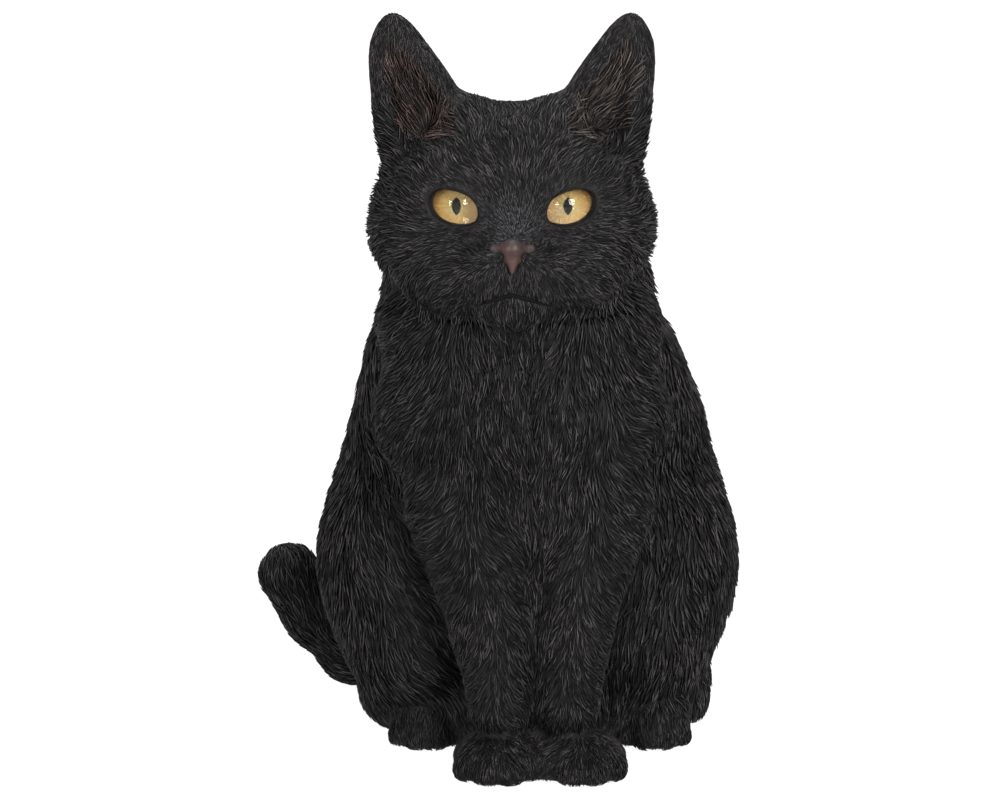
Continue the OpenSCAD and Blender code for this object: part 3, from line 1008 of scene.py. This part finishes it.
def noise(tree, size_mm, detail, vector=None):
    """Noise whose patches are about this many millimetres across."""
    n = tree.nodes.new("ShaderNodeTexNoise")
    n.inputs["Scale"].default_value = 1000 / size_mm
    n.inputs["Detail"].default_value = detail
    tree.links.new(vector or object_place(tree), n.inputs["Vector"])
    return n.outputs["Fac"]


def attribute(tree, name):
    """A value that the mesh holds at its points."""
    n = tree.nodes.new("ShaderNodeAttribute")
    n.attribute_name = name
    return n.outputs["Fac"]


def bump(tree, shader, height, distance_mm, strength):
    """Relief too fine to model, this many millimetres deep."""
    n = tree.nodes.new("ShaderNodeBump")
    n.inputs["Strength"].default_value = strength
    n.inputs["Distance"].default_value = distance_mm * MM
    feed(tree, n.inputs["Height"], height)
    tree.links.new(n.outputs["Normal"], shader.inputs["Normal"])


def surface(tree, shader, colour, roughness):
    """Feeds a shader a colour and a roughness that both vary over the surface."""
    tree.links.new(colour, shader.inputs["Base Color"])
    tree.links.new(roughness, shader.inputs["Roughness"])


FROST = (0.14, 0.152, 0.172)


def painted_fur(name, shadow, coat_colour, brushed):
    """Painted shade in the grooves and towards the strands' roots, the coat's colour on the ridges,
    and paler paint dry-brushed on some of them or dusted on the bridge of the nose."""
    mat, tree, shader = material(name, Specular_IOR_Level=0.12)
    crest, along, tone, dusted = (attribute(tree, label) for label in ("crest", "along", "tone", "frost"))
    # ridge is high on the crests towards the strands' tips; it places both the painted shade and the
    # dry-brushed paint
    ridge = product(tree, calc(tree, "POWER", crest, 3.6), spread_over(tree, along, 0, 0.9, 0.35, 1.0))
    streak = noise(tree, 5, 4)
    in_streak = spread_over(tree, streak, 0.36, 0.64, 0.35, 1.0)
    in_patch = spread_over(tree, noise(tree, 38, 2), 0.3, 0.7, 0.7, 1.0)
    caught = product(tree, ridge, in_streak, spread_over(tree, tone, 0.25, 1.0), in_patch)
    # painted shade: where ridge is low, in the grooves and at the strands' roots, the shadow colour shows
    colour = blend(tree, spread_over(tree, ridge, 0.08, 1.0), shadow, coat_colour)
    colour = blend(tree, caught, colour, brushed)
    speck = product(tree, ridge, spread_over(tree, noise(tree, 0.9, 2), 0.46, 0.62))
    colour = blend(tree, product(tree, dusted, speck), colour, FROST)
    surface(tree, shader, colour, spread_over(tree, streak, 0.3, 0.7, 0.5, 0.72))
    bump(tree, shader, noise(tree, 0.5, 3), 0.05, 0.6)
    return mat


def mottled(name, colours, patches, gloss, gloss_patches, grain, relief_mm, strength, specular):
    """Two near colours in patches, an uneven gloss and a fine grain. patches, gloss_patches and
    grain are each a size in millimetres and a level of detail."""
    mat, tree, shader = material(name, Specular_IOR_Level=specular)
    uneven = spread_over(tree, noise(tree, *gloss_patches), 0.3, 0.7, *gloss)
    surface(tree, shader, blend(tree, noise(tree, *patches), *colours), uneven)
    bump(tree, shader, noise(tree, *grain), relief_mm, strength)
    return mat


def glazed_skin(name, low, high, roughness):
    """The casting between the strands and other matt paint, and the painted shade of the mouth's groove."""
    gloss = (roughness, roughness + 0.15)
    return mottled(name, (low, high), (9, 5), gloss, (3, 4), (0.9, 4), 0.12, 0.7, 0.12)


def rim_enamel(name, low, high):
    """Dark glossy paint for the lids' edges; near black, it also stands in for painted shade round the
    eyes.
    """
    return mottled(name, (low, high), (3, 3), (0.25, 0.45), (1.5, 3), (0.8, 2), 0.04, 0.5, 0.5)


def moulded(name, low, high, grain_mm, roughness):
    """Rubber or putty."""
    gloss = (roughness, roughness + 0.15)
    return mottled(name, (low, high), (6, 4), gloss, (2, 3), (grain_mm, 4), 0.1, 0.6, 0.35)


def nose_leather():
    """Brownish pink in the middle, fading into the coat's grey at the ends and the top."""
    mat, tree, shader = material("nose_leather", Specular_IOR_Level=0.3)
    worn = noise(tree, 5, 4)
    x, _, z = along_axes(tree, object_place(tree))
    aside = calc(tree, "ABSOLUTE", calc(tree, "SUBTRACT", x, float(HEAD[0] * MM)))
    aside = calc(tree, "ADD", aside, product(tree, worn, 0.003))
    top_low, top_high = (float((HEAD[2] - under) * MM) for under in (10.5, 8.3))
    colour = blend(tree, spread_over(tree, worn, 0.35, 0.65), (0.022, 0.0105, 0.009), (0.044, 0.021, 0.018))
    colour = blend(tree, spread_over(tree, aside, 0.005, 0.0095, 0, 0.85), colour, (0.008, 0.0068, 0.0072))
    colour = blend(tree, spread_over(tree, z, top_low, top_high, 0, 0.8), colour, (0.016, 0.015, 0.017))
    specks = spread_over(tree, noise(tree, 1.1, 3), 0.55, 0.7, 0, 0.6)
    colour = blend(tree, specks, colour, (0.02, 0.0095, 0.009))
    surface(tree, shader, colour, spread_over(tree, worn, 0.3, 0.7, 0.42, 0.6))
    bump(tree, shader, noise(tree, 0.9, 4), 0.25, 1.0)
    return mat


def eye_glass():
    """Clear glass that lets lamps through to the iris."""
    mat, tree, shader = material("eye_glass", Roughness=0.02, IOR=1.25, Transmission_Weight=1.0)
    shader.inputs["Base Color"].default_value = (1, 0.985, 0.94, 1)
    bump(tree, shader, noise(tree, 14, 1), 0.05, 0.25)
    clear = tree.nodes.new("ShaderNodeBsdfTransparent")
    mixed = tree.nodes.new("ShaderNodeMixShader")
    ray = tree.nodes.new("ShaderNodeLightPath")
    tree.links.new(ray.outputs["Is Shadow Ray"], mixed.inputs[0])
    tree.links.new(shader.outputs[0], mixed.inputs[1])
    tree.links.new(clear.outputs[0], mixed.inputs[2])
    tree.links.new(mixed.outputs[0], tree.nodes["Material Output"].inputs["Surface"])
    return mat


def iris_enamel(side):
    """Amber with radial threads, darker round its edge and paler round the pupil."""
    mat, tree, shader = material("iris_enamel_" + ("left" if side > 0 else "right"), Specular_IOR_Level=0.3)
    middle = (DOMES[side] + eye_axes(side)[2] * (DOME_R - EYE_GLASS_T)) * MM
    place = tree.nodes.new("ShaderNodeMapping")
    place.vector_type = "TEXTURE"
    place.inputs["Location"].default_value = middle
    place.inputs["Rotation"].default_value = (0, 0, side * EYE_YAW)
    tree.links.new(object_place(tree), place.inputs["Vector"])
    x, _, z = along_axes(tree, place.outputs[0])
    far = calc(tree, "SQRT", calc(tree, "ADD", product(tree, x, x), product(tree, z, z)))
    far = calc(tree, "DIVIDE", far, EYE_D / 2 * MM)
    turn = calc(tree, "ARCTAN2", z, x)
    polar = tree.nodes.new("ShaderNodeCombineXYZ")
    around = [product(tree, calc(tree, way, turn), 0.02) for way in ("COSINE", "SINE")]
    for number, socket in zip(around + [product(tree, far, 0.0035)], polar.inputs):
        tree.links.new(number, socket)
    threads = noise(tree, 1.6, 4, polar.outputs[0])
    colour = blend(tree, spread_over(tree, far, 0.18, 0.5), (0.135, 0.112, 0.031), (0.158, 0.086, 0.013))
    colour = blend(tree, spread_over(tree, far, 0.6, 0.98), colour, (0.112, 0.042, 0.004))
    colour = blend(tree, spread_over(tree, threads, 0.35, 0.75, 0, 0.5), colour, (0.18, 0.126, 0.032))
    surface(tree, shader, colour, spread_over(tree, threads, 0.3, 0.7, 0.35, 0.55))
    bump(tree, shader, threads, 0.15, 0.6)
    return mat


def wool_felt():
    """Dark green felt with a fibrous pile."""
    mat, tree, shader = material("felt", Specular_IOR_Level=0.1, Sheen_Weight=0.4, Sheen_Roughness=0.5)
    fibre = product(tree, noise(tree, 0.5, 6), noise(tree, 2.5, 4))
    colour = blend(tree, spread_over(tree, fibre, 0.15, 0.4), (0.004, 0.012, 0.007), (0.018, 0.05, 0.028))
    surface(tree, shader, colour, spread_over(tree, fibre, 0.1, 0.4, 0.85, 1.0))
    bump(tree, shader, fibre, 0.25, 1.0)
    return mat


# near-black painted shade for the grooves between strands
GROOVE_SHADE = (0.0006, 0.0006, 0.0007)
# the head's fur paint is a lighter copy of the body's: painted light on the face, painted shade on the
# body, legs and tail
body_paint_shaded_copy = painted_fur("body_fur_paint_shaded_copy", GROOVE_SHADE, (0.0088, 0.0081, 0.0087), (0.165, 0.15, 0.151))
head_paint_lit_copy = painted_fur("head_fur_paint_lit_copy", GROOVE_SHADE, (0.0112, 0.0104, 0.011), (0.21, 0.192, 0.192))
ear_paints = (
    painted_fur("right_ear_paint", (0.003, 0.002, 0.002), (0.06, 0.043, 0.037), (0.32, 0.22, 0.185)),
    painted_fur("left_ear_paint", (0.003, 0.0025, 0.002), (0.042, 0.034, 0.031), (0.46, 0.37, 0.32)),
)
skin_paint = glazed_skin("glaze", (0.002, 0.002, 0.0022), (0.0065, 0.006, 0.0065), 0.6)
# near-black lid rims: the lids' dark paint, and painted shade round each eye
lid_rim_shade_paint = rim_enamel("lid_rim", (0.001, 0.001, 0.001), (0.003, 0.003, 0.003))
# near-black tube in the mouth's groove: painted shade of the groove
mouth_shade_paint = glazed_skin("mouth_shade_paint", (0.0004, 0.0004, 0.0004), (0.001, 0.0008, 0.0008), 0.8)
felt = wool_felt()


def finish(piece, mat, node):
    """Paints a piece, rides it on the figure, and hides the CAD node it stands for."""
    piece.data.materials.clear()
    piece.data.materials.append(mat)
    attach(piece, "root")
    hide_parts(node)


for piece, paint in [(body_skin, skin_paint)] + [(fur, body_paint_shaded_copy) for fur in body_furs]:
    finish(piece, paint, "body_shell")
for piece, paint in [(tail_skin, skin_paint)] + [(fur, body_paint_shaded_copy) for fur in tail_furs]:
    finish(piece, paint, "tail")
head_pieces = [(head_skin, skin_paint), (nose, nose_leather()), (mouth, mouth_shade_paint)]
head_pieces += [(fur, head_paint_lit_copy) for fur in head_furs]
head_pieces += list(zip(ear_furs, ear_paints))
head_pieces += [(lid, lid_rim_shade_paint) for lid in lids]
for piece, paint in head_pieces:
    finish(piece, paint, "head_shell")
finish(rear_felt, felt, "rear_felt_pad")
finish(front_felt, felt, "front_felt_pads")


def repaint(node, mat):
    """Gives a CAD node that keeps its shape its material."""
    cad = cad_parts[node]
    cad.data.materials.clear()
    cad.data.materials.append(mat)


glass = eye_glass()
pupil_paint = glazed_skin("pupil_enamel", (0.001, 0.001, 0.001), (0.003, 0.003, 0.003), 0.7)
putty = moulded("putty", (0.42, 0.39, 0.33), (0.52, 0.49, 0.43), 1.2, 0.7)
for side, name in ((-1, "right"), (1, "left")):
    repaint(name + "_eye_lens", glass)
    repaint(name + "_eye_iris", iris_enamel(side))
    repaint(name + "_eye_pupil", pupil_paint)
    repaint(name + "_eye_bed", putty)
repaint("vent_bung", moulded("stopper", (0.5, 0.49, 0.45), (0.58, 0.57, 0.53), 0.5, 0.45))


# ---- stage
# The image's width, and how much of the scene each of its pixels covers at AIM, its middle
IMAGE_WIDTH = 995
MM_PER_PIXEL = 0.3845
SENSOR_WIDTH = 36
CAM_DISTANCE = 1150
CAM_ELEVATION = math.radians(10)
AIM = np.array([-11.8, 0, 132.3])


def place_camera():
    """A camera that looks slightly down at the figure's front."""
    data = bpy.data.cameras.new("camera")
    data.sensor_width = SENSOR_WIDTH
    data.lens = SENSOR_WIDTH * CAM_DISTANCE / (IMAGE_WIDTH * MM_PER_PIXEL)
    cam = add_to_scene("camera", data)
    back = np.array([0, -math.cos(CAM_ELEVATION), math.sin(CAM_ELEVATION)])
    cam.location = (AIM + CAM_DISTANCE * back) * MM
    cam.rotation_euler = (math.radians(90) - CAM_ELEVATION, 0, 0)
    bpy.context.scene.camera = cam


def softbox(name, at, size, power):
    """A rectangular lamp aimed at the middle of the figure."""
    data = bpy.data.lights.new(name, "AREA")
    data.shape = "RECTANGLE"
    data.size, data.size_y = size[0] * MM, size[1] * MM
    data.energy = power
    ob = add_to_scene(name, data)
    at = np.array(at, float)
    ob.location = at * MM
    ob.rotation_euler = Vector((np.array((0, 0, 140)) - at) * MM).to_track_quat("-Z", "Y").to_euler()


def overhead_light():
    """Broad, soft light from above and a little behind."""
    data = bpy.data.lights.new("sky", "SUN")
    data.energy = 2.9
    data.angle = math.radians(50)
    add_to_scene("sky", data).rotation_euler = (math.radians(-12), 0, 0)


def white_room():
    """A white room to look at, whose own light on the figure is dimmer."""
    world = bpy.data.worlds.new("world")
    bpy.context.scene.world = world
    world.use_nodes = True
    tree = world.node_tree
    room = tree.nodes["Background"]
    room.inputs["Color"].default_value = (1, 1, 1, 1)
    seen = tree.nodes.new("ShaderNodeLightPath").outputs["Is Camera Ray"]
    tree.links.new(spread_over(tree, seen, 0, 1, 0.25, 1.0), room.inputs["Strength"])
    bpy.context.scene.view_settings.view_transform = "Standard"


def paper_floor():
    """A pale floor that glows a little, so that hardly any shadow shows on it."""
    bpy.ops.mesh.primitive_plane_add(size=30)
    floor = bpy.context.object
    floor.name = "floor"
    mat, _, shader = material("floor", Specular_IOR_Level=0, Emission_Strength=0.96)
    shader.inputs["Base Color"].default_value = (0.15, 0.15, 0.15, 1)
    shader.inputs["Emission Color"].default_value = (1, 1, 1, 1)
    floor.data.materials.append(mat)


place_camera()
softbox("right_softbox", (420, -800, 480), (330, 370), 14)
softbox("left_softbox", (-560, -760, 420), (160, 300), 8)
overhead_light()
white_room()
paper_floor()
